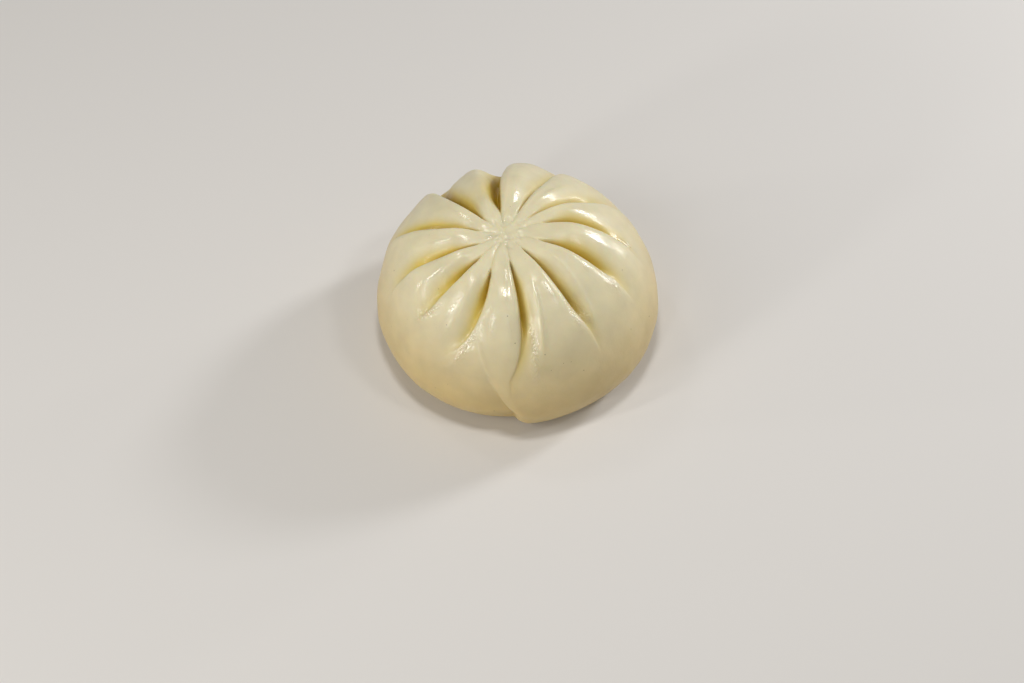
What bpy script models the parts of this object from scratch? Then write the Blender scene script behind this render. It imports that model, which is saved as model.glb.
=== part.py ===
"""A pleated steamed bun: a soft dome of dough, gathered into folds round a sunken knot, on a flat base.

The dome is a half-section spun about +Z. The spun columns are then turned to run along the creases, and
each point moves along the dome's own normal, as a function of two angles: the azimuth round the knot, and
the polar angle, 0 at the knot and 90 degrees at the widest ring. Lengths are in metres, angles in degrees,
-Y is the front and +Z is up.
"""

import math
from typing import NamedTuple

import bmesh
import bpy
from mathutils import Vector

MM = 0.001

# The dome without its folds
RADIUS = 45.6 * MM  # at the widest ring
RING_HEIGHT = 15.0 * MM  # of the widest ring, over the base
DOME_RISE = 38.5 * MM  # from the ring to the top, before the knot sinks
BELLY_DROP = 26.0 * MM  # the belly is part of an ellipse this deep, cut by the base
BASE_POLAR = math.degrees(math.acos(-RING_HEIGHT / BELLY_DROP))
KNOT_SHIFT = (-4.9 * MM, -1.6 * MM)  # the knot sits off the middle
KNOT_SINK = 2.6 * MM
KNOT_RADIUS = 12.0 * MM  # how wide the dip round the knot is
FLATTENED = 0.8 * MM  # the bun is that much less wide on one side
FLATTENED_AZIMUTH = 311.0

# The folds. A pair gives the value for a wide soft groove and for a narrow sharp one.
GROOVE_WIDTH = (2.2 * MM, 1.1 * MM)  # where the creases are PLAIN_PITCH apart
PLAIN_PITCH = 12.0 * MM
GROOVE_FLOOR = (2.6, 1.5)  # the higher, the flatter the bottom of the groove
GROOVE_FADE = 18.0  # a groove fades over this many degrees
GROOVE_OPENING = (7.0 * MM, 3.5 * MM)
HOLLOW_OPENING = 10.0 * MM
SLIM_START = (0.45, 1.0)  # width of a groove where it starts and where it is open, as a share
ROLL_POWER = 2.4  # of the lapping sides' section; 2 would make it an ellipse
EARLY_SHARE = 0.2  # share of a ridge's height that it has already near the knot
EARLY_START = (3.0 * MM, 10.0 * MM)
PLAIN_LIFT = 1.8 * MM
STEEPEST = 0.9  # depth over pitch, which holds the folds shallow where they crowd together
STRAIGHT_FALL = (-2.0, 4.0)  # a crease bends only between these falls, in tens of degrees from FALL_POLAR
FALL_POLAR = 30.0

# Where one side of a crease laps over the other
LAP_WIDTH = 4.5 * MM  # how far from its edge the upper side stays raised
LAP_STEP = 0.6 * MM  # half-width of the step at the edge
LAP_OPENING = 5.0 * MM

# The last fold, lapped over the front from halfway down to the base
FRONT_LAP_DROP = 2.8 * MM  # how far the tucked side lies below the lapping side
FRONT_LAP_AZIMUTH = 257.0  # of the lap's edge at FRONT_LAP_POLAR
FRONT_LAP_POLAR = 63.5
FRONT_LAP_LEAN = 0.37  # degrees of azimuth for each degree of fall
FRONT_LAP_STRAIGHT = 98.0  # polar angle from which the edge runs straight down
FRONT_LAP_SPREAD = 15.0  # the tucked side comes back up to the dome over this many degrees
FRONT_LAP_SWELL = 0.8 * MM  # of the lapping side
FRONT_LAP_SWELL_SPREAD = 17.0  # degrees
FRONT_LAP_ROLL = 4.5 * MM  # the lapping side rolls down to the tucked one over this width
FRONT_LAP_GROWS = (56.0, 88.0)  # polar angles between which it grows
FRONT_LAP_END = (112.0, BASE_POLAR)  # and between which it ends

# The mesh
COLUMNS_A_RIDGE = 12
CROWDING = 0.5  # how much closer the columns are beside a crease
ROW_BANDS = ((0.0, 9.0, 3), (9.0, 60.0, 17), (60.0, 90.0, 6), (90.0, BASE_POLAR, 5))  # from, to, rows
BASE_RINGS = (0.6, 0.2)  # shares of the base's radius
MERGE = 0.01 * MM

DOUGH_COLOUR = (0.66, 0.58, 0.34, 1.0)
DOUGH_ROUGHNESS = 0.42


class Crease(NamedTuple):
    """One crease, and the ridge after it. It runs down the dome, from near the knot to where it fades out."""

    azimuth: float  # at FALL_POLAR
    lean: float  # degrees of azimuth for each 10 degrees of fall
    bend: float  # the same, growing with the square of the fall
    start: float  # distance from the knot where it opens, in mm
    fade_from: float  # polar angles between which it fades
    fade_to: float
    groove_to: float  # polar angle at which the groove has faded
    hollow: float  # mm under the dome
    groove: float  # depth of the groove in the hollow, in mm
    lap: float  # mm by which the side of greater azimuth lies over the other; negative, the other way round
    sharpness: float  # 0 for a wide soft groove, 1 for a narrow one
    floor: float  # more than 1 for a hollow with a wider floor
    lift: float  # mm by which the ridge stands over the dome
    crest: float  # where the ridge's crest lies, as a share of the way to the next crease


CREASES = (
    Crease(14.3, -3.7, 0.0, 12.0, 33, 68, 51, 0.0, 2.3, -0.4, 0.3, 1.2, 1.2, 0.62),
    Crease(38.5, -0.6, 0.0, 8.5, 38, 78, 52, 0.9, 2.2, -0.4, 0.3, 1.3, 1.0, 0.60),
    Crease(66.5, 0.8, 0.0, 8.0, 44, 84, 50, 0.6, 1.4, -0.5, 0.7, 1.2, 2.0, 0.62),
    Crease(100.0, -1.0, 0.0, 8.0, 56, 90, 64, 2.2, 3.8, -0.5, 0.2, 1.4, 1.3, 0.38),
    Crease(141.3, -2.6, 0.0, 7.5, 60, 90, 74, 2.2, 3.8, 0.3, 0.3, 1.5, 0.4, 0.20),
    Crease(175.0, -2.6, 0.2, 8.0, 36, 76, 50, 0.6, 1.9, 0.5, 0.6, 1.2, 1.8, 0.28),
    Crease(204.0, -4.2, 0.6, 9.5, 32, 72, 46, 0.1, 2.1, 0.5, 0.6, 1.3, 1.9, 0.42),
    Crease(228.6, -3.0, 0.1, 12.5, 30, 66, 43, 0.1, 2.7, 0.5, 0.7, 1.3, 1.9, 0.52),
    Crease(253.8, -0.3, -1.1, 15.5, 34, 72, 47, 0.1, 3.4, 0.5, 0.9, 1.3, 1.9, 0.62),
    Crease(278.3, -0.1, -0.6, 12.0, 38, 86, 58, 0.1, 3.6, -0.4, 1.0, 0.8, 1.9, 0.64),
    Crease(310.0, 0.2, 0.0, 8.5, 38, 72, 57, 0.0, 3.8, -0.4, 1.0, 0.8, 1.9, 0.64),
    Crease(343.0, -0.6, -0.1, 11.0, 32, 66, 50, 0.1, 2.8, -0.4, 0.5, 1.1, 1.9, 0.64),
)


def ease(value, low, high):
    """0 at low, 1 at high, with a smooth start and end."""
    share = min(max((value - low) / (high - low), 0.0), 1.0)
    return share * share * (3.0 - 2.0 * share)


def between(pair, share):
    return pair[0] + (pair[1] - pair[0]) * share


def bump(distance, width):
    """1 at no distance, falling softly to 0 past the width."""
    return math.exp(-((abs(distance) / width) ** 1.5))


def crease_azimuth(crease, polar):
    """Where the crease is at this polar angle."""
    fall = min(max((polar - FALL_POLAR) / 10.0, STRAIGHT_FALL[0]), STRAIGHT_FALL[1])
    return crease.azimuth + crease.lean * fall + crease.bend * fall * fall


def rolled(share):
    """1 in the crease and 0 on the crest, as part of an ellipse with a tighter edge."""
    return 1.0 - (1.0 - (1.0 - share) ** ROLL_POWER) ** (1.0 / ROLL_POWER)


def crease_relief(crease, lift, way, side, reach, width, pitch, ring, polar):
    """Height that one crease adds to the dome, on a ridge beside it.

    The way is 0 in the crease and 1 in the next one, and the ridge's crest lies at the reach. The side is 1
    after the crease and -1 before it. Width is that of the ridge, and pitch the mean width of the ridges on
    both sides of the crease. The lapping side rolls down from the crest, and the tucked side drops as a
    cosine, with the groove.
    """
    start = crease.start * MM
    hollow = crease.hollow * MM
    groove = crease.groove * MM
    lap = crease.lap * MM
    share = min(way / reach, 1.0)

    opened = ease(ring, start - MM, start - MM + HOLLOW_OPENING)
    slim = between(SLIM_START, opened)
    early = EARLY_SHARE * ease(ring, *EARLY_START)
    kept = (early + (1.0 - early) * opened) * (1.0 - ease(polar, crease.fade_from, crease.fade_to))
    groove *= ease(ring, start - MM, start - MM + between(GROOVE_OPENING, crease.sharpness))
    groove *= 1.0 - ease(polar, crease.groove_to - GROOVE_FADE, crease.groove_to)

    fall = (lift + hollow) * kept
    if side * lap > 0.0:
        drop = fall * rolled(share) + groove * rolled(min(share / slim, 1.0))
    else:
        groove_width = between(GROOVE_WIDTH, crease.sharpness) * slim * pitch / PLAIN_PITCH
        groove *= math.exp(-((way * width / groove_width) ** between(GROOVE_FLOOR, crease.sharpness)))
        groove *= 1.0 - ease(share, 0.6, 1.0)
        drop = fall * (1.0 + math.cos(math.pi * share**crease.floor)) / 2.0 + groove
    depth = PLAIN_LIFT + hollow + crease.groove * MM
    steepened = 1.0 - math.exp(-STEEPEST * pitch / depth)

    across = side * way * width
    step = lap * math.tanh(across / LAP_STEP) * bump(across, LAP_WIDTH) * kept
    step *= 1.0 - ease(share, 0.5, 1.0)
    step *= ease(ring, start, start + LAP_OPENING)
    return steepened * (lift * (1.0 - ease(way, 0.0, 1.0)) * kept - drop) + step


def gathered(column, ring, polar):
    """The azimuth of a column's point, in radians, and the height that the creases add to the dome there.

    Columns are counted in ridges: column 2.5 is halfway between creases 2 and 3. So the mesh runs along the
    creases, and it is finest beside them.
    """
    places = [crease_azimuth(crease, polar) for crease in CREASES]
    count = len(places)
    gaps = [math.radians((places[(i + 1) % count] - place) % 360.0) for i, place in enumerate(places)]
    before = int(column) % count
    after = (before + 1) % count
    share = column % 1.0
    share -= CROWDING * math.sin(math.tau * share) / math.tau
    azimuth = math.radians(places[before]) + share * gaps[before]
    if ring == 0.0 or polar >= 90.0:
        return azimuth, 0.0
    lift = CREASES[before].lift * MM
    crest = CREASES[before].crest
    width = gaps[before] * ring
    relief = 0.0
    for number, way, side, reach in ((before, share, 1.0, crest), (after, 1.0 - share, -1.0, 1.0 - crest)):
        pitch = (gaps[number - 1] + gaps[number]) / 2.0 * ring
        relief += crease_relief(CREASES[number], lift, way, side, reach, width, pitch, ring, polar)
    return azimuth, relief


def front_lap_relief(azimuth, polar):
    """The swell of the lapping side of the front lap, and the drop of its tucked side, low on the dome."""
    edge = FRONT_LAP_AZIMUTH + FRONT_LAP_LEAN * (min(polar, FRONT_LAP_STRAIGHT) - FRONT_LAP_POLAR)
    offset = (math.degrees(azimuth) - edge + 180.0) % 360.0 - 180.0
    edge_side = min(max(1.0 - math.radians(offset) * RADIUS / FRONT_LAP_ROLL, 0.0), 1.0)
    tucked = 1.0 - math.sqrt(1.0 - edge_side**2)
    tucked *= math.exp(min(offset, 0.0) / FRONT_LAP_SPREAD)
    swollen = bump(offset - FRONT_LAP_SWELL_SPREAD / 2.0, FRONT_LAP_SWELL_SPREAD) if offset > 0.0 else 0.0
    relief = FRONT_LAP_SWELL * swollen * (1.0 - edge_side) - FRONT_LAP_DROP * tucked
    return relief * ease(polar, *FRONT_LAP_GROWS) * (1.0 - ease(polar, *FRONT_LAP_END))


def half_section():
    """Points in the XZ plane, from the top of the plain dome down to the middle of the base."""
    polars = [0.0]
    for low, high, rows in ROW_BANDS:
        polars += [low + (high - low) * (i + 1) / rows for i in range(rows)]
    points = []
    for polar in polars:
        rise = DOME_RISE if polar < 90.0 else BELLY_DROP
        across = RADIUS * math.sin(math.radians(polar))
        points.append((across, 0.0, RING_HEIGHT + rise * math.cos(math.radians(polar))))
    base_radius = points[-1][0]
    points += [(base_radius * share, 0.0, 0.0) for share in BASE_RINGS]
    points.append((0.0, 0.0, 0.0))
    return points


def shaped(point):
    """A point of the plain dome, moved to where the gathered dough has it."""
    rise = DOME_RISE if point.z > RING_HEIGHT else BELLY_DROP
    ring = math.hypot(point.x, point.y)
    polar = math.degrees(math.atan2(ring / RADIUS, (point.z - RING_HEIGHT) / rise))
    column = math.atan2(point.y, point.x) / math.tau * len(CREASES)
    azimuth, relief = gathered(column % len(CREASES), ring, polar)
    relief += front_lap_relief(azimuth, polar)

    flattened = FLATTENED * max(math.cos(azimuth - math.radians(FLATTENED_AZIMUTH)), 0.0) ** 2
    flattened *= math.sin(math.radians(min(polar, 90.0))) ** 2
    across = ring * (1.0 - flattened / RADIUS)
    moved = Vector((across * math.cos(azimuth), across * math.sin(azimuth), point.z))
    normal = Vector((moved.x / RADIUS**2, moved.y / RADIUS**2, (point.z - RING_HEIGHT) / rise**2))
    moved += normal.normalized() * relief

    upper = max(math.cos(math.radians(polar)), 0.0) ** 2
    moved.x += KNOT_SHIFT[0] * upper
    moved.y += KNOT_SHIFT[1] * upper
    moved.z -= KNOT_SINK * upper * math.exp(-((ring / KNOT_RADIUS) ** 2))
    return moved


def stand_on_origin(bm):
    """Puts the middle of the box's underside at the origin."""
    for axis in (0, 1):
        values = [vert.co[axis] for vert in bm.verts]
        middle = (min(values) + max(values)) / 2.0
        for vert in bm.verts:
            vert.co[axis] -= middle


def dough_material():
    material = bpy.data.materials.new("dough")
    material.use_nodes = True
    shader = material.node_tree.nodes["Principled BSDF"]
    shader.inputs["Base Color"].default_value = DOUGH_COLOUR
    shader.inputs["Roughness"].default_value = DOUGH_ROUGHNESS
    shader.inputs["Metallic"].default_value = 0.0
    return material


def make_bun():
    bm = bmesh.new()
    section = [bm.verts.new(point) for point in half_section()]
    edges = [bm.edges.new(pair) for pair in zip(section, section[1:])]
    bmesh.ops.spin(
        bm,
        geom=section + edges,
        cent=(0.0, 0.0, 0.0),
        axis=(0.0, 0.0, 1.0),
        angle=math.tau,
        steps=COLUMNS_A_RIDGE * len(CREASES),
        use_merge=True,
    )
    bmesh.ops.remove_doubles(bm, verts=bm.verts, dist=MERGE)
    bmesh.ops.recalc_face_normals(bm, faces=bm.faces)
    for vert in bm.verts:
        vert.co = shaped(vert.co)
    stand_on_origin(bm)
    mesh = bpy.data.meshes.new("bun")
    bm.to_mesh(mesh)
    bm.free()
    mesh.shade_smooth()
    mesh.materials.append(dough_material())
    bun = bpy.data.objects.new("bun", mesh)
    bpy.context.scene.collection.objects.link(bun)
    return bun


for old in list(bpy.data.objects):
    bpy.data.objects.remove(old)
make_bun()
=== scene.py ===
import math

import bpy
import numpy as np
from mathutils import Matrix, Vector


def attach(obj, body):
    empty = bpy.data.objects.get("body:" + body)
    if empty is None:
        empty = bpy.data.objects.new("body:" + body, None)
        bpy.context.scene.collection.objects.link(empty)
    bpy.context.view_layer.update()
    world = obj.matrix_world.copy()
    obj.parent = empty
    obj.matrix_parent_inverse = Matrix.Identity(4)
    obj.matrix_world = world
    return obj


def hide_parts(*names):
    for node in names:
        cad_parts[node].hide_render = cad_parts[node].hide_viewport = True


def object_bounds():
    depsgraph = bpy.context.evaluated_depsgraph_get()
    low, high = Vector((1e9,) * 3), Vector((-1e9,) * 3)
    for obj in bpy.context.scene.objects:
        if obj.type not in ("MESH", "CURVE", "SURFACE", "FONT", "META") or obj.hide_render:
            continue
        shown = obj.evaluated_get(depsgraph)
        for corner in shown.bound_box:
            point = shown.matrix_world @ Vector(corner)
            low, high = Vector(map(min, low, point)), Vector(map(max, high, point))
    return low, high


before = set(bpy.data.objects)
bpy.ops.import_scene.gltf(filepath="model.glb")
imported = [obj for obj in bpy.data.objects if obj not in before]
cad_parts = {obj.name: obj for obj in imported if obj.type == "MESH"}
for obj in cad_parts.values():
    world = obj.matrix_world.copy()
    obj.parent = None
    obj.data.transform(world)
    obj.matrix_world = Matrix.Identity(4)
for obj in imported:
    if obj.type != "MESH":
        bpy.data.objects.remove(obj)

# A pleated steamed bun: one skin of dough, worked out on a grid of two parameters. Columns run down the
# creases and ridges, rows go round. Lengths are mm and angles degrees, unless a note says otherwise.
mm = 0.001
cadLow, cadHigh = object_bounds()
print("frame loaded:", sorted(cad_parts))

# the plain dome: half an ellipse over the widest ring, and part of a deeper-bellied one under it
domeShape = {
    "radius": 45.6,
    "ringHeight": 15.0,      # of the widest ring, over the base
    "rise": 38.5,            # from the ring to the top, before the knot sinks
    "bellyDrop": 26.0,       # of the lower ellipse, which the base cuts
    "knotShift": (-4.9, -1.6),
    "knotSink": 2.6,
    "knotWidth": 12.0,
    "flattened": 0.8,        # less wide on one side, at this azimuth
    "flattenedSide": 311.0,
    "footInset": 2.2,        # how far the foot rounds in over the base
}

# how every pleat is pressed; the pairs marked * are for a wide soft hollow and for a narrow sharp one
pleatStyle = {
    "fallPolar": 30.0,           # the polar angle at which each crease's azimuth is given
    "straightFall": (-2.0, 4.0),  # the lean stops above and below this, in tens of degrees from there
    "rollPower": 2.4,            # 2 rolls the lapping side as an ellipse, more squares it
    "grooveWidth": (2.2, 1.1),   # * how far the tucked side of the groove reaches
    "grooveFloor": (2.6, 1.5),   # * how flat the floor of the groove is
    "grooveFade": 18.0,          # degrees over which the groove ends
    "grooveOpening": (7.0, 3.5),  # * over which the groove starts
    "hollowOpening": 10.0,       # over which the wide hollow starts
    "openingBefore": 1.0,        # both start this far before the start of the crease
    "slimStart": (0.45, 1.0),    # width of the groove where it starts and where it is open, as a share
    "plainPitch": 12.0,          # the widths are for this pitch, and grow with it
    "earlyShare": 0.2,           # of a pleat's relief that is there before its groove starts
    "earlyStart": (3.0, 10.0),   # from the knot, between which that share grows
    "tuckedFade": (0.6, 1.0),    # the tucked groove and the lap's step end here on the way to the crest
    "stepFade": (0.5, 1.0),
    "steepest": 0.9,             # depth over pitch, past which a pleat grows no deeper
    "plainLift": 1.8,            # of a usual ridge over the dome
    "lapWidth": 4.5,             # how far the step of the lap reaches
    "lapStep": 0.6,              # how wide the step itself is
    "lapOpening": 5.0,
    "threadDepth": 0.4,          # thin grooves go on from the creases into the knot
    "threadWidth": 0.7,
    "threadFrom": (2.0, 5.0),    # from the knot, between which they start
    "threadTo": (1.0, 4.0),      # past the start of the crease, between which they end
    "shadeWidth": (4.4, 2.6),   # * painted shade, golden, reaches this far from the crease on the tucked side
    "shadeWidest": 1.1,         # and at most this many times as far where the pitch is wide
    "shadeEdge": (-0.2, 0.9),   # the lapping side has painted shade only down to here
}

# azimuth at fallPolar, with its lean and bend; start from the knot; fade from and to, and end of the groove
# (polar); depth of the hollow under the dome, and of the groove in it; step of the lap (a negative one laps
# from the other side); sharpness; floor of the hollow, wider for more than 1; how strong the painted shade
# in its hollow and groove is. Then of the ridge after it: its lift over the dome, and how far towards the
# next crease its crest lies, as a share.
creaseColumns = ("azimuth", "lean", "bend", "start", "fadeFrom", "fadeTo", "grooveTo",
                 "hollow", "groove", "lap", "sharpness", "floor", "shadeStrength", "lift", "crest")
creaseRows = (
    (14.3, -3.7, 0.0, 12.0, 33, 68, 51, 0.0, 2.3, -0.4, 0.3, 1.2, 0.9, 1.2, 0.62),
    (38.5, -0.6, 0.0, 8.5, 38, 78, 52, 0.9, 2.2, -0.4, 0.3, 1.3, 0.55, 1.0, 0.60),
    (66.5, 0.8, 0.0, 8.0, 44, 84, 50, 0.6, 1.4, -0.5, 0.7, 1.2, 0.4, 2.0, 0.62),
    (100.0, -1.0, 0.0, 8.0, 56, 90, 64, 2.2, 3.8, -0.5, 0.2, 1.4, 1.2, 1.3, 0.38),
    (141.3, -2.6, 0.0, 7.5, 60, 90, 74, 2.2, 3.8, 0.3, 0.3, 1.5, 1.2, 0.4, 0.20),
    (175.0, -2.6, 0.2, 8.0, 36, 76, 50, 0.6, 1.9, 0.5, 0.6, 1.2, 1.2, 1.8, 0.28),
    (204.0, -4.2, 0.6, 9.5, 32, 72, 46, 0.1, 2.1, 0.5, 0.6, 1.3, 1.0, 1.9, 0.42),
    (228.6, -3.0, 0.1, 12.5, 30, 66, 43, 0.1, 2.7, 0.5, 0.7, 1.3, 1.0, 1.9, 0.52),
    (253.8, -0.3, -1.1, 15.5, 34, 72, 47, 0.1, 3.4, 0.5, 0.9, 1.3, 1.0, 1.9, 0.62),
    (278.3, -0.1, -0.6, 12.0, 38, 86, 58, 0.1, 3.6, -0.4, 1.0, 0.8, 0.8, 1.9, 0.64),
    (310.0, 0.2, 0.0, 8.5, 38, 72, 57, 0.0, 3.8, -0.4, 1.0, 0.8, 0.7, 1.9, 0.64),
    (343.0, -0.6, -0.1, 11.0, 32, 66, 50, 0.1, 2.8, -0.4, 0.5, 1.1, 1.0, 1.9, 0.64),
)
creases = [dict(zip(creaseColumns, row)) for row in creaseRows]

# the last fold, lapped over the front from halfway down to the base
frontLap = {
    "azimuth": 257.0,        # of the edge at this polar angle
    "polar": 63.5,
    "lean": 0.37,            # degrees round for each one down, as far as the next
    "straight": 98.0,
    "drop": 2.8,             # of the tucked side, which comes back over this many degrees
    "spread": 15.0,
    "swell": 0.8,            # of the lapping side, over this many degrees
    "swellSpread": 17.0,
    "roll": 4.5,             # the lapping side rolls down to the tucked one over this width
    "grows": (56.0, 88.0),   # polar angles between which it starts, and from which it ends
    "ends": 112.0,
}

# fine raised lines that the fingers left along three of the ridges: azimuth at fallPolar, lean, from, to,
# height; they fade in and out over some degrees
fineRidgeStyle = {"width": 0.9, "fade": 8.0}
fineRidges = (
    (290.5, -2.3, 32.0, 52.0, 0.9),
    (322.5, -3.4, 24.0, 48.0, 0.6),
    (245.0, 3.7, 58.0, 84.0, 0.5),
)

# where the ridges are smoothly wet: azimuth, polar, lean, half the width in mm, half the length in degrees,
# how wet, and how rippled the water is
wetPlaces = (
    (190.5, 28.0, -3.5, 0.7, 9.0, 0.8, 0.05),
    (213.8, 37.0, -3.0, 0.9, 9.0, 0.8, 0.05),
    (236.1, 43.5, -3.0, 1.0, 9.0, 0.8, 0.05),
    (269.7, 27.0, 0.0, 1.2, 13.0, 0.9, 0.0),
    (260.3, 42.0, 0.8, 1.2, 8.0, 0.8, 0.15),
    (289.0, 40.0, -2.2, 0.8, 12.0, 1.0, 0.15),
    (301.0, 32.0, 0.0, 0.9, 7.0, 0.7, 0.05),
    (332.3, 36.0, -3.5, 1.9, 10.0, 0.5, 0.15),
    (0.7, 35.5, -6.0, 2.4, 10.0, 0.35, 0.1),
    (25.6, 33.5, -4.5, 1.6, 12.0, 0.3, 0.15),
    (40.0, 22.0, -3.0, 1.1, 11.0, 0.7, 0.2),
    (54.7, 27.0, 0.0, 1.1, 9.0, 0.6, 0.15),
    (79.0, 16.0, 0.0, 0.9, 9.0, 0.6, 0.3),
    (157.5, 20.0, -7.0, 0.8, 8.0, 0.8, 0.1),
    (280.0, 5.0, 0.0, 1.6, 6.0, 0.8, 0.7),
    (100.0, 5.0, 0.0, 1.4, 5.0, 0.8, 0.7),
    (205.0, 6.0, 0.0, 1.2, 5.0, 0.8, 0.7),
)

# rippled films of water where the creases run out: azimuth, polar, lean, half the width in mm, half the
# length in degrees, and how much the dough levels off there, as a slope
filmPlaces = (
    (223.5, 52.0, -5.5, 1.5, 8.0, 0.24),
    (247.5, 57.5, -4.2, 1.8, 12.0, 0.32),
    (280.5, 57.0, -1.0, 1.2, 12.0, 0.24),
    (306.5, 46.0, -1.0, 1.2, 7.0, 0.10),
    (313.0, 48.0, 0.0, 1.2, 7.0, 0.10),
    (338.5, 45.0, -1.0, 1.9, 8.0, 0.16),
    (8.5, 49.0, -1.0, 1.8, 7.0, 0.15),
)

# how the dough levels off under the films
levelling = {
    "acrossShare": 1.8,      # its reach across and along, over the film's
    "alongShare": 2.0,
    "waveShare": 0.8,        # length of its wave, over half the length of the film
}

# hand-made unevenness: size of each swell and its height, all fading out low down
unevenness = {
    "swells": ((26.0, 0.22), (11.0, 0.09), (4.5, 0.02)),
    "swellFade": (100.0, 116.0),
    "knotReach": 8.5,
    "knotFade": (0.45, 1.25),  # the lumps fade out between these shares of the reach
    "knotLumps": ((3.0, 0.2), (1.5, 0.09)),
}
swellSeed = 11
lumpSeed = 31

# rows are given in bands: from and to in degrees from the top, and how many; where the last band ends, the
# belly rounds off into the base
gridSize = {
    "columnsPerRidge": 40,
    "crowding": 0.5,         # how much closer the columns stand beside a crease
    "bands": ((1.2, 10.0, 14), (10.0, 62.0, 104), (62.0, 92.0, 40), (92.0, 117.0, 18)),
    "footRows": 7,
    "baseRings": (0.97, 0.85, 0.6, 0.3, 0.05),
}


def ease(value, low, high):
    # smooth step: 0 at low, 1 at high
    share = np.clip((value - low) / (high - low), 0.0, 1.0)
    return share * share * (3.0 - 2.0 * share)


def bump(distance, width):
    # soft hump: e to the minus (distance over width) to the power 1.5
    return np.exp(-(np.abs(distance) / width) ** 1.5)


def between(pair, share):
    # straight blend: the first of the pair at 0, the second at 1
    return pair[0] + (pair[1] - pair[0]) * share


def softNoise(points, size, seed, waves=24):
    # sum of sine waves about one size long, in random directions with random phases; mostly -1 to 1
    rng = np.random.default_rng(seed)
    directions = rng.normal(size=(waves, 3))
    directions /= np.linalg.norm(directions, axis=1, keepdims=True)
    lengths = size * rng.uniform(0.7, 1.6, waves)
    phases = rng.uniform(0.0, 2.0 * np.pi, waves)
    turns = points @ (directions * (2.0 * np.pi / lengths)[:, None]).T + phases
    return np.sin(turns).sum(-1) / math.sqrt(waves)


def creaseAzimuth(crease, polar):
    # azimuth + lean * fall + bend * fall squared, where fall counts tens of degrees from fallPolar down
    fall = np.clip((polar - pleatStyle["fallPolar"]) / 10.0, *pleatStyle["straightFall"])
    return crease["azimuth"] + crease["lean"] * fall + crease["bend"] * fall**2


def rolled(share):
    # quarter of an ellipse with a tighter edge: 1 in the crease, 0 on the crest
    power = pleatStyle["rollPower"]
    return 1.0 - (1.0 - (1.0 - share) ** power) ** (1.0 / power)


def creaseRelief(crease, lift, way, side, reach, width, pitch, ring, polar):
    # Height over the dome = lift of the ridge - its drop into the crease + step of the lap - thread. The
    # lapping side rolls from the crest into the crease, nearly as an ellipse. The tucked side drops as a
    # cosine, with the groove, which dies away exponentially. way is 0 in the crease and 1 in the next one,
    # and the crest lies at reach. Also gives the painted shade of the hollow and of the groove there: how
    # far they are coloured golden and brown for the shade and the light bounced in the crease.
    start, sharp = crease["start"], crease["sharpness"]
    begin = start - pleatStyle["openingBefore"]
    across = side * way * width
    share = np.minimum(way / reach, 1.0)
    opened = ease(ring, begin, begin + pleatStyle["hollowOpening"])
    slim = between(pleatStyle["slimStart"], opened)
    widened = slim * pitch / pleatStyle["plainPitch"]
    early = pleatStyle["earlyShare"] * ease(ring, *pleatStyle["earlyStart"])
    kept = (early + (1.0 - early) * opened) * (1.0 - ease(polar, crease["fadeFrom"], crease["fadeTo"]))
    grooveEnd = crease["grooveTo"]
    grooveKept = ease(ring, begin, begin + between(pleatStyle["grooveOpening"], sharp))
    grooveKept = grooveKept * (1.0 - ease(polar, grooveEnd - pleatStyle["grooveFade"], grooveEnd))
    grooveShare = way * width / (between(pleatStyle["grooveWidth"], sharp) * widened)
    tucked = np.exp(-(grooveShare ** between(pleatStyle["grooveFloor"], sharp)))
    tucked = tucked * (1.0 - ease(share, *pleatStyle["tuckedFade"]))
    fall = (lift + crease["hollow"]) * kept
    if side * crease["lap"] > 0.0:
        drop = fall * rolled(share)
        drop = drop + crease["groove"] * grooveKept * rolled(np.minimum(share / slim, 1.0))
    else:
        drop = fall * (1.0 + np.cos(np.pi * share ** crease["floor"])) / 2.0
        drop = drop + crease["groove"] * grooveKept * tucked
    depth = pleatStyle["plainLift"] + crease["hollow"] + crease["groove"]
    steepened = 1.0 - np.exp(-pleatStyle["steepest"] * pitch / depth)

    step = crease["lap"] * np.tanh(across / pleatStyle["lapStep"]) * kept
    step = step * bump(across, pleatStyle["lapWidth"]) * (1.0 - ease(share, *pleatStyle["stepFade"]))
    step = step * ease(ring, start, start + pleatStyle["lapOpening"])

    threadEnd = [start + past for past in pleatStyle["threadTo"]]
    thread = ease(ring, *pleatStyle["threadFrom"]) * (1.0 - ease(ring, *threadEnd))
    thread = pleatStyle["threadDepth"] * thread * bump(across, pleatStyle["threadWidth"])
    relief = steepened * (lift * (1.0 - ease(way, 0.0, 1.0)) * kept - drop) + step - thread
    # painted shade: the hollow and the groove are coloured golden and brown where the crease lies in shade
    paintedShade = crease["shadeStrength"] * (1.0 - ease(across * np.sign(crease["lap"]), *pleatStyle["shadeEdge"]))
    shadeWidth = between(pleatStyle["shadeWidth"], sharp)
    shadeWidth = shadeWidth * np.minimum(widened, pleatStyle["shadeWidest"])
    hollowShade = kept * paintedShade * np.exp(-((way * width / shadeWidth) ** 2))
    return relief, hollowShade, grooveKept * tucked * paintedShade


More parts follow.
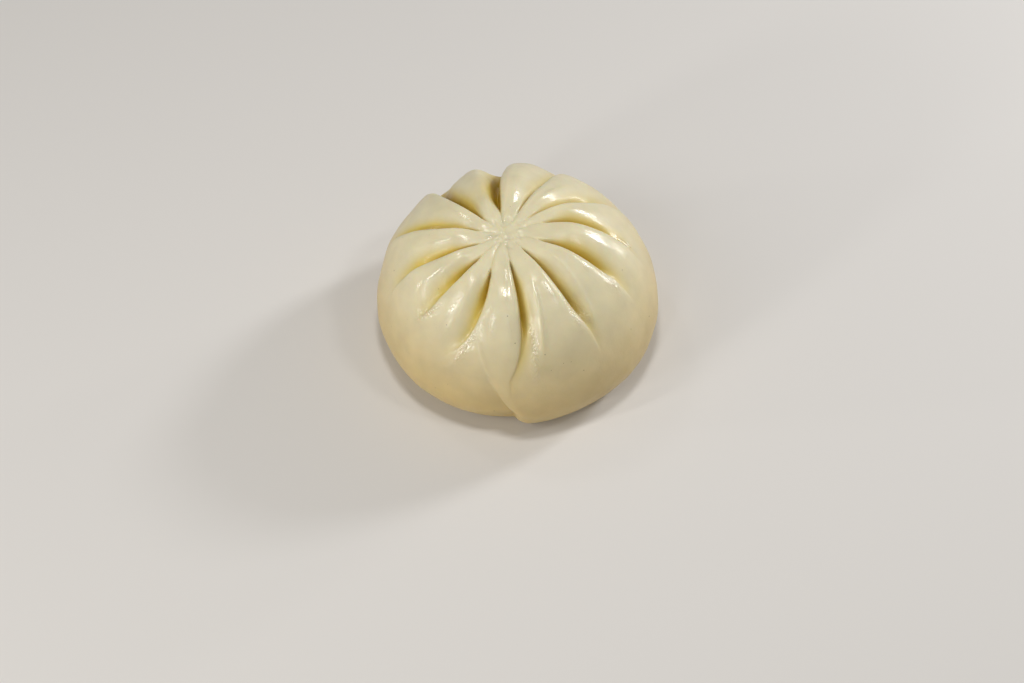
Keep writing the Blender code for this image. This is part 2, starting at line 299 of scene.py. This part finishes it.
def gatheredGrid(ring, polar):
    # Azimuth, relief, and painted shade of the hollow and groove, of every column at every row. The
    # columns of ridge i lie between creases i and i + 1, and their step is the even one - crowding * its
    # sine.
    steps = np.arange(gridSize["columnsPerRidge"]) / gridSize["columnsPerRidge"]
    steps = (steps - gridSize["crowding"] * np.sin(2.0 * np.pi * steps) / (2.0 * np.pi))[:, None]
    places = [creaseAzimuth(crease, polar) for crease in creases]
    count = len(places)
    gaps = [np.radians((places[(i + 1) % count] - places[i]) % 360.0) for i in range(count)]
    azimuths, forms = [], []
    for i in range(count):
        width = gaps[i] * ring
        lift, crest = creases[i]["lift"], creases[i]["crest"]
        flanks = (
            (i, steps, 1.0, crest),
            ((i + 1) % count, 1.0 - steps, -1.0, 1.0 - crest),
        )
        form = 0.0
        for which, way, side, reach in flanks:
            pitch = (gaps[which - 1] + gaps[which]) / 2.0 * ring
            part = creaseRelief(creases[which], lift, way, side, reach, width, pitch, ring, polar)
            form = form + np.array(part)
        azimuths.append(np.radians(places[i]) + steps * gaps[i])
        forms.append(np.where(polar < 90.0, form, 0.0))
    return np.concatenate(azimuths), *np.concatenate(forms, axis=1)


def turnedFrom(azimuth, edge):
    # signed angle from an edge, in degrees, -180 to 180
    return (np.degrees(azimuth) - edge + 180.0) % 360.0 - 180.0


def frontLapRelief(azimuth, polar):
    # the lapping side swells, then rolls down to the edge as a quarter of a circle, and the tucked side
    # comes back up exponentially away from it
    fall = np.minimum(polar, frontLap["straight"]) - frontLap["polar"]
    offset = turnedFrom(azimuth, frontLap["azimuth"] + frontLap["lean"] * fall)
    edgeSide = np.clip(1.0 - np.radians(offset) * domeShape["radius"] / frontLap["roll"], 0.0, 1.0)
    tucked = (1.0 - np.sqrt(1.0 - edgeSide**2)) * np.exp(np.minimum(offset, 0.0) / frontLap["spread"])
    shown = ease(polar, *frontLap["grows"]) * (1.0 - ease(polar, frontLap["ends"], basePolar()))
    swollen = bump(offset - frontLap["swellSpread"] / 2.0, frontLap["swellSpread"]) * (offset > 0.0)
    return (frontLap["swell"] * swollen * (1.0 - edgeSide) - frontLap["drop"] * tucked) * shown


def fineRidgeRelief(azimuth, ring, polar):
    # height * soft hump across each line, fading in and out along it
    relief = 0.0
    fade = fineRidgeStyle["fade"]
    for place, lean, top, bottom, height in fineRidges:
        line = place + lean * (polar - pleatStyle["fallPolar"]) / 10.0
        across = np.radians(turnedFrom(azimuth, line)) * ring
        along = ease(polar, top - fade, top) * (1.0 - ease(polar, bottom, bottom + fade))
        relief = relief + height * along * bump(across, fineRidgeStyle["width"])
    return relief


def covered(azimuth, ring, polar, place, lean, halfWidth, halfLength):
    # soft hump across a wet place * soft hump along it: 1 in its middle; place is its azimuth and polar
    line = place[0] + lean * (polar - place[1]) / 10.0
    across = np.radians(turnedFrom(azimuth, line)) * ring
    return bump(across, halfWidth) * bump(polar - place[1], halfLength)


def dampness(azimuth, ring, polar):
    # how wet the skin is, and how rippled the water on it: the most that any place gives
    damp, rippled = 0.0, 0.0
    films = [(*film[:5], 1.0, 1.0) for film in filmPlaces]
    for turn, down, lean, halfWidth, halfLength, wetness, ripple in (*wetPlaces, *films):
        share = covered(azimuth, ring, polar, (turn, down), lean, halfWidth, halfLength)
        damp = np.maximum(damp, wetness * share)
        rippled = np.maximum(rippled, ripple * share)
    return damp, rippled


def levellingRelief(azimuth, ring, polar):
    # sinks above each film and swells below it: slope * x * e to the minus (x over the wave's length)
    # squared, where x is the way down from its middle
    relief = 0.0
    for turn, down, lean, halfWidth, halfLength, slope in filmPlaces:
        length = math.radians(halfLength) * domeShape["radius"] * levelling["waveShare"]
        below = np.radians(polar - down) * domeShape["radius"]
        wave = slope * below * np.exp(-((below / length) ** 2))
        wider, longer = levelling["acrossShare"] * halfWidth, levelling["alongShare"] * halfLength
        relief = relief + wave * covered(azimuth, ring, polar, (turn, down), lean, wider, longer)
    return relief


def basePolar():
    # polar angle at which the belly's ellipse meets the base: its cosine is - ring height over belly drop
    return math.degrees(math.acos(-domeShape["ringHeight"] / domeShape["bellyDrop"]))


def profileRows():
    # Ring radius, height and polar angle of each row, from the knot over the belly to the middle of the
    # base, and 1 for the rows on the base. Ring = radius * sine of polar; height = ring's height + rise, or
    # belly drop under the ring, * cosine of polar.
    polar = [np.array([gridSize["bands"][0][0]])]
    polar += [low + (high - low) * np.arange(1, rows + 1) / rows for low, high, rows in gridSize["bands"]]
    polar = np.concatenate(polar)
    angle = np.radians(polar)
    ring = domeShape["radius"] * np.sin(angle)
    drop = np.where(polar < 90.0, domeShape["rise"], domeShape["bellyDrop"])
    height = domeShape["ringHeight"] + drop * np.cos(angle)

    # the foot: a quadratic curve from the belly's tangent to the flat base
    slope = -1.0 / math.tan(angle[-1]) * domeShape["radius"] / domeShape["bellyDrop"]
    corner = ring[-1] - height[-1] * slope
    inner = corner - domeShape["footInset"]
    t = np.arange(1, gridSize["footRows"] + 1) / gridSize["footRows"]
    footRing = (1 - t) ** 2 * ring[-1] + 2 * t * (1 - t) * corner + t**2 * inner
    footHeight = (1 - t) ** 2 * height[-1]
    footPolar = polar[-1] + (basePolar() - polar[-1]) * t

    baseRing = inner * np.array(gridSize["baseRings"])
    flat = np.zeros(len(baseRing))
    return (
        np.concatenate([ring, footRing, baseRing]),
        np.concatenate([height, footHeight, flat]),
        np.concatenate([polar, footPolar, flat + basePolar()]),
        np.concatenate([np.zeros(len(polar) + len(footRing)), flat + 1.0]),
    )


def bunSurface():
    # Point = plain dome, less wide on one side, + its normal * relief + shift and sink of the knot. Also
    # the masks for the dough's material: painted shade in the hollows, the grooves and low down, and
    # how wet it is.
    ring, height, polar, isBase = profileRows()
    azimuth, folds, hollow, groove = gatheredGrid(ring, polar)
    shape = azimuth.shape
    ring, height, polar = (np.broadcast_to(row, shape) for row in (ring, height, polar))
    cosPolar = np.clip(np.cos(np.radians(polar)), 0.0, 1.0)

    facing = np.clip(np.cos(azimuth - math.radians(domeShape["flattenedSide"])), 0, 1)
    flattened = domeShape["flattened"] * facing**2 * np.sin(np.radians(np.minimum(polar, 90.0))) ** 2
    across = ring * (1.0 - flattened / domeShape["radius"])
    points = np.stack([across * np.cos(azimuth), across * np.sin(azimuth), height], -1)
    drop = np.where(polar < 90.0, domeShape["rise"], domeShape["bellyDrop"])
    above = height - domeShape["ringHeight"]
    radius = domeShape["radius"]
    normals = np.stack([points[..., 0] / radius**2, points[..., 1] / radius**2, above / drop**2], -1)
    normals /= np.linalg.norm(normals, axis=-1, keepdims=True)

    relief = folds + frontLapRelief(azimuth, polar) + fineRidgeRelief(azimuth, ring, polar)
    relief = relief + levellingRelief(azimuth, ring, polar)
    places = points.reshape(-1, 3)
    for number, (size, tall) in enumerate(unevenness["swells"]):
        swell = softNoise(places, size, swellSeed + number).reshape(shape)
        relief = relief + tall * swell * (1.0 - ease(polar, *unevenness["swellFade"]))
    knotStart, knotEnd = (share * unevenness["knotReach"] for share in unevenness["knotFade"])
    knot = 1.0 - ease(ring, knotStart, knotEnd)
    for number, (size, tall) in enumerate(unevenness["knotLumps"]):
        relief = relief + tall * knot * softNoise(places, size, lumpSeed + number).reshape(shape)
    points = points + normals * (relief * (1.0 - isBase))[..., None]

    points[..., 0] += domeShape["knotShift"][0] * cosPolar**2
    points[..., 1] += domeShape["knotShift"][1] * cosPolar**2
    points[..., 2] -= domeShape["knotSink"] * cosPolar**2 * np.exp(-(ring / domeShape["knotWidth"]) ** 2)
    damp, ripple = dampness(azimuth, ring, polar)
    masks = {
        # hollow and groove: painted shade in the creases
        "hollow": np.clip(hollow, 0.0, 1.0),
        "groove": np.clip(groove, 0.0, 1.0),
        "damp": damp * (1.0 - isBase),
        "ripple": ripple * (1.0 - isBase),
        # low: painted shade and warm bounced light low down on the belly
        "low": ease(polar, *doughFinishAndShade["shadedSideFrom"]),
    }
    return points, masks


def gridMesh(name, points, masks):
    # Quads between neighbouring columns and rows, closed round and capped with a fan at either pole, whose
    # middle point is the mean of its ring.
    columns, rows = points.shape[:2]
    topPoint, bottomPoint = points[:, 0].mean(0), points[:, -1].mean(0)
    vertices = np.concatenate([points.reshape(-1, 3), topPoint[None], bottomPoint[None]])
    index = np.arange(columns * rows).reshape(columns, rows)
    nextColumn = np.roll(index, -1, axis=0)
    quads = np.stack([index[:, :-1], index[:, 1:], nextColumn[:, 1:], nextColumn[:, :-1]], -1)
    quads = quads.reshape(-1, 4)
    top, bottom = columns * rows, columns * rows + 1
    topFan = np.stack([np.full(columns, top), index[:, 0], nextColumn[:, 0]], -1)
    bottomFan = np.stack([np.full(columns, bottom), nextColumn[:, -1], index[:, -1]], -1)
    mesh = bpy.data.meshes.new(name)
    mesh.from_pydata(vertices * mm, [], quads.tolist() + topFan.tolist() + bottomFan.tolist())
    mesh.shade_smooth()
    for maskName, mask in masks.items():
        values = np.concatenate([mask.reshape(-1), [mask[:, 0].mean(), mask[:, -1].mean()]])
        layer = mesh.attributes.new(maskName, "FLOAT", "POINT")
        layer.data.foreach_set("value", values.astype(np.float32))
    mesh.update()
    return mesh


# scales count the grains along a metre, and the three heights are in metres
doughFinishAndShade = {
    "cream": (0.77, 0.705, 0.48),
    # side: painted shade, tan low down on the belly, with warm light bounced up from below
    "side": (0.66, 0.50, 0.215),
    "shadedSideFrom": (38.0, 98.0),      # polar angles between which the cream turns to the side's painted shade
    # hollow and groove: painted shade in the creases, golden in the hollow and brown in the groove
    "hollow": (0.69, 0.53, 0.12),
    "hollowShadeFrom": (0.05, 0.75),    # how deep in a crease each painted shade starts, and how deep it is full
    "groove": (0.47, 0.30, 0.015),
    "grooveShadeFrom": (0.1, 1.0),
    "mottle": (0.90, 1.10),        # times the colour
    "mottleScale": 140.0,
    "speck": (0.18, 0.12, 0.05),
    "speckScale": 330.0,
    "speckSize": 0.09,             # of the largest, as a share of its cell
    "speckEdge": 0.03,
    "speckless": 0.1,              # share of the cells that have none
    "speckStrength": (0.15, 0.85),
    "roughness": 0.42,
    "roughnessSpread": 0.1,
    "roughnessScale": 300.0,
    "dampRoughness": 0.10,
    "subsurface": 0.35,
    "subsurfaceRadius": (1.0, 0.6, 0.25),
    "subsurfaceScale": 0.003,
    "coat": 0.12,
    "dampCoat": 1.0,
    "dampFrom": (0.1, 1.0),        # how damp it is where the coat starts to grow, and where it is full
    "coatRoughness": 0.19,
    "coatIor": 2.0,
    "ior": 1.42,
    "grainHeight": 0.00004,        # of the fine grain all over
    "grainScale": 1500.0,
    "wavyHeight": 0.00006,         # of the soft waves under it
    "wavyScale": 350.0,
    "filmHeight": 0.00045,         # of the ripples in the films of water
    "filmScale": 1200.0,
}


def addNode(nodes, kind, values=None, **settings):
    # settings are the node's own, values go into its sockets
    node = nodes.new(kind)
    for setting, value in settings.items():
        setattr(node, setting, value)
    for socket, value in (values or {}).items():
        node.inputs[socket].default_value = value
    return node


def mixColours(tree, first, second, factor, blend="MIX"):
    # first and second are colours or sockets; factor is a number or a socket
    node = addNode(tree.nodes, "ShaderNodeMix", data_type="RGBA", blend_type=blend)
    for slot, value in ((6, first), (7, second), (0, factor)):
        if isinstance(value, bpy.types.NodeSocket):
            tree.links.new(value, node.inputs[slot])
        else:
            node.inputs[slot].default_value = (*value, 1.0) if isinstance(value, tuple) else value
    return node.outputs[2]


def remap(tree, socket, fromLow, fromHigh, toLow=0.0, toHigh=1.0, smooth=False):
    # straight or smooth blend between the two limits, flat past them
    node = addNode(tree.nodes, "ShaderNodeMapRange", {1: fromLow, 2: fromHigh, 3: toLow, 4: toHigh})
    node.interpolation_type = "SMOOTHSTEP" if smooth else "LINEAR"
    tree.links.new(socket, node.inputs[0])
    return node.outputs[0]


def calculate(tree, operation, first, second):
    # first and second are numbers or sockets
    node = addNode(tree.nodes, "ShaderNodeMath", operation=operation)
    for slot, value in ((0, first), (1, second)):
        if isinstance(value, bpy.types.NodeSocket):
            tree.links.new(value, node.inputs[slot])
        else:
            node.inputs[slot].default_value = value
    return node.outputs[0]


def doughMaterial():
    material = bpy.data.materials.new("steamedDough")
    material.use_nodes = True
    tree = material.node_tree
    nodes, links = tree.nodes, tree.links
    shader = nodes["Principled BSDF"]
    place = addNode(nodes, "ShaderNodeTexCoord").outputs["Object"]

    def mask(name):
        return addNode(nodes, "ShaderNodeAttribute", attribute_name=name).outputs["Fac"]

    def noise(scale, detail=2.0, roughness=0.5):
        values = {"Scale": scale, "Detail": detail, "Roughness": roughness}
        node = addNode(nodes, "ShaderNodeTexNoise", values)
        links.new(place, node.inputs["Vector"])
        return node.outputs[0]

    # colour: cream; painted shade tan low down, golden in hollows and brown in grooves; softly mottled
    usualNoise = (0.1, 0.9)
    damp = mask("damp")
    colour = mixColours(tree, doughFinishAndShade["cream"], doughFinishAndShade["side"], mask("low"))
    hollow = remap(tree, mask("hollow"), *doughFinishAndShade["hollowShadeFrom"])
    colour = mixColours(tree, colour, doughFinishAndShade["hollow"], hollow)
    groove = remap(tree, mask("groove"), *doughFinishAndShade["grooveShadeFrom"])
    colour = mixColours(tree, colour, doughFinishAndShade["groove"], groove)
    mottle = remap(tree, noise(doughFinishAndShade["mottleScale"], 3.0), *usualNoise, *doughFinishAndShade["mottle"])
    colour = mixColours(tree, colour, mottle, 1.0, "MULTIPLY")

    # small dark specks of different sizes and strengths: the middles of some cells
    cells = addNode(nodes, "ShaderNodeTexVoronoi", {"Scale": doughFinishAndShade["speckScale"], "Randomness": 1.0})
    links.new(place, cells.inputs["Vector"])
    pick = addNode(nodes, "ShaderNodeSeparateColor")
    links.new(cells.outputs["Color"], pick.inputs[0])
    size = remap(tree, pick.outputs[0], doughFinishAndShade["speckless"], 1.0, 0.0, doughFinishAndShade["speckSize"])
    inside = calculate(tree, "SUBTRACT", size, cells.outputs["Distance"])
    speck = remap(tree, inside, 0.0, doughFinishAndShade["speckEdge"], smooth=True)
    strength = remap(tree, pick.outputs[1], 0.0, 1.0, *doughFinishAndShade["speckStrength"])
    colour = mixColours(tree, colour, doughFinishAndShade["speck"], calculate(tree, "MULTIPLY", speck, strength))
    links.new(colour, shader.inputs["Base Color"])

    # finish: satin where dry, glossy under a coat of water where damp, and a little light gets through
    smoothest = doughFinishAndShade["roughness"] - doughFinishAndShade["roughnessSpread"]
    roughest = doughFinishAndShade["roughness"] + doughFinishAndShade["roughnessSpread"]
    dry = remap(tree, noise(doughFinishAndShade["roughnessScale"]), *usualNoise, smoothest, roughest)
    wet = addNode(nodes, "ShaderNodeMix", {3: doughFinishAndShade["dampRoughness"]})
    links.new(damp, wet.inputs[0])
    links.new(dry, wet.inputs[2])
    links.new(wet.outputs[0], shader.inputs["Roughness"])
    shader.inputs["Subsurface Weight"].default_value = doughFinishAndShade["subsurface"]
    shader.inputs["Subsurface Radius"].default_value = doughFinishAndShade["subsurfaceRadius"]
    shader.inputs["Subsurface Scale"].default_value = doughFinishAndShade["subsurfaceScale"]
    coat = remap(tree, damp, *doughFinishAndShade["dampFrom"], doughFinishAndShade["coat"], doughFinishAndShade["dampCoat"])
    links.new(coat, shader.inputs["Coat Weight"])
    shader.inputs["Coat Roughness"].default_value = doughFinishAndShade["coatRoughness"]
    shader.inputs["Coat IOR"].default_value = doughFinishAndShade["coatIor"]
    shader.inputs["IOR"].default_value = doughFinishAndShade["ior"]

    # skin: fine grain and soft waves all over, and a broken film of water in some damp places
    grain = addNode(nodes, "ShaderNodeBump", {"Strength": 1.0, "Distance": doughFinishAndShade["grainHeight"]})
    links.new(noise(doughFinishAndShade["grainScale"], 3.0, 0.6), grain.inputs["Height"])
    wavy = addNode(nodes, "ShaderNodeBump", {"Strength": 1.0, "Distance": doughFinishAndShade["wavyHeight"]})
    links.new(noise(doughFinishAndShade["wavyScale"], 1.0), wavy.inputs["Height"])
    links.new(grain.outputs[0], wavy.inputs["Normal"])
    film = addNode(nodes, "ShaderNodeBump", {"Strength": 1.0, "Distance": doughFinishAndShade["filmHeight"]})
    ripples = calculate(tree, "SUBTRACT", noise(doughFinishAndShade["filmScale"], 2.0, 0.6), 0.5)
    links.new(calculate(tree, "MULTIPLY", ripples, mask("ripple")), film.inputs["Height"])
    links.new(wavy.outputs[0], film.inputs["Normal"])
    links.new(film.outputs[0], shader.inputs["Normal"])
    links.new(film.outputs[0], shader.inputs["Coat Normal"])
    return material


def makeBun():
    points, masks = bunSurface()
    # the widest points stand where the solid's do
    low, high = points.reshape(-1, 3).min(0), points.reshape(-1, 3).max(0)
    middle = (low + high) / 2.0
    cadMiddle = (cadLow + cadHigh) / 2.0 / mm
    shift = np.array([cadMiddle.x - middle[0], cadMiddle.y - middle[1], 0.0])
    bun = bpy.data.objects.new("steamedBun", gridMesh("steamedBun", points + shift, masks))
    bpy.context.scene.collection.objects.link(bun)
    bun.data.materials.append(doughMaterial())
    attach(bun, "root")
    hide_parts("bun")
    faces = len(bun.data.polygons)
    print("bun:", faces, "faces,", np.round(high - low, 2), "mm, shifted", np.round(shift, 2))
    return shift


ringShift = makeBun()

# size in metres
floorStyle = {"size": 6.0, "colour": (0.74, 0.72, 0.70), "roughness": 0.75}


def makeFloor():
    half = floorStyle["size"] / 2.0
    corners = [(-half, -half, 0.0), (half, -half, 0.0), (half, half, 0.0), (-half, half, 0.0)]
    mesh = bpy.data.meshes.new("floor")
    mesh.from_pydata(corners, [], [(0, 1, 2, 3)])
    floor = bpy.data.objects.new("floor", mesh)
    bpy.context.scene.collection.objects.link(floor)
    material = bpy.data.materials.new("floor")
    material.use_nodes = True
    shader = material.node_tree.nodes["Principled BSDF"]
    shader.inputs["Base Color"].default_value = (*floorStyle["colour"], 1.0)
    shader.inputs["Roughness"].default_value = floorStyle["roughness"]
    mesh.materials.append(material)


makeFloor()

# lamp: where it stands and its width and height, in metres, its power in watts and its colour; all look at
# the bun
studioLight = {
    "lamps": (
        ("overhead", (-0.02, -0.09, 0.85), (0.14, 0.14), 1.95, (1.0, 0.98, 0.94)),
        ("backRight", (0.59, 0.39, 0.41), (0.13, 0.13), 2.15, (0.97, 0.98, 1.0)),
        ("left", (-0.53, -0.29, 0.50), (0.06, 0.36), 0.74, (1.0, 0.98, 0.94)),
        ("right", (0.35, -0.13, 0.68), (0.10, 0.10), 0.5, (1.0, 0.98, 0.94)),
        ("front", (-0.20, -0.51, 0.54), (0.06, 0.36), 0.42, (1.0, 0.98, 0.94)),
        ("backLeft", (-0.32, 0.30, 0.64), (0.06, 0.12), 0.2, (1.0, 0.98, 0.94)),
        ("lowLeft", (-0.73, -0.13, 0.16), (0.08, 0.08), 0.4, (1.0, 0.98, 0.94)),
        ("lowFront", (-0.53, -0.48, 0.23), (0.09, 0.09), 0.85, (1.0, 0.98, 0.94)),
        ("lowRight", (0.61, 0.42, 0.13), (0.08, 0.08), 0.6, (1.0, 0.98, 0.94)),
    ),
    "sky": (1.0, 0.97, 0.92),
    "skyStrength": 0.165,
}


def makeLight():
    middle = Vector((0.0, 0.0, cadHigh.z * 0.5))
    for name, place, size, power, colour in studioLight["lamps"]:
        lamp = bpy.data.lights.new(name, "AREA")
        lamp.shape = "ELLIPSE"
        lamp.size, lamp.size_y = size
        lamp.energy, lamp.color = power, colour
        holder = bpy.data.objects.new(name, lamp)
        bpy.context.scene.collection.objects.link(holder)
        holder.location = place
        holder.rotation_euler = (middle - Vector(place)).to_track_quat("-Z", "Y").to_euler()
    world = bpy.data.worlds.new("studio")
    world.use_nodes = True
    sky = world.node_tree.nodes["Background"]
    sky.inputs["Color"].default_value = (*studioLight["sky"], 1.0)
    sky.inputs["Strength"].default_value = studioLight["skyStrength"]
    bpy.context.scene.world = world
    bpy.context.scene.view_settings.view_transform = "Standard"


makeLight()

# the camera looks down at the bun, which sits a little above the middle of the picture
cameraPlace = {
    "elevation": 53.1,
    "roll": -1.73,
    "distance": 819.7,       # from the middle of the widest ring, along the view
    "aimRight": 2.11,        # how far that middle lies right of and above the middle of the picture
    "aimUp": 13.95,
    "lens": 88.82,
    "sensor": 36.0,
}


def makeCamera():
    camera = bpy.data.cameras.new("camera")
    camera.lens = cameraPlace["lens"]
    camera.sensor_width = cameraPlace["sensor"]
    camera.clip_start = 0.01
    holder = bpy.data.objects.new("camera", camera)
    bpy.context.scene.collection.objects.link(holder)
    turn = Matrix.Rotation(math.radians(90.0 - cameraPlace["elevation"]), 3, "X")
    turn = turn @ Matrix.Rotation(-math.radians(cameraPlace["roll"]), 3, "Z")
    middle = Vector((ringShift[0], ringShift[1], domeShape["ringHeight"]))
    offset = Vector((-cameraPlace["aimRight"], -cameraPlace["aimUp"], cameraPlace["distance"]))
    place = (middle + turn @ offset) * mm
    holder.matrix_world = Matrix.Translation(place) @ turn.to_4x4()
    bpy.context.scene.camera = holder


makeCamera()
print("camera, floor and light are set")
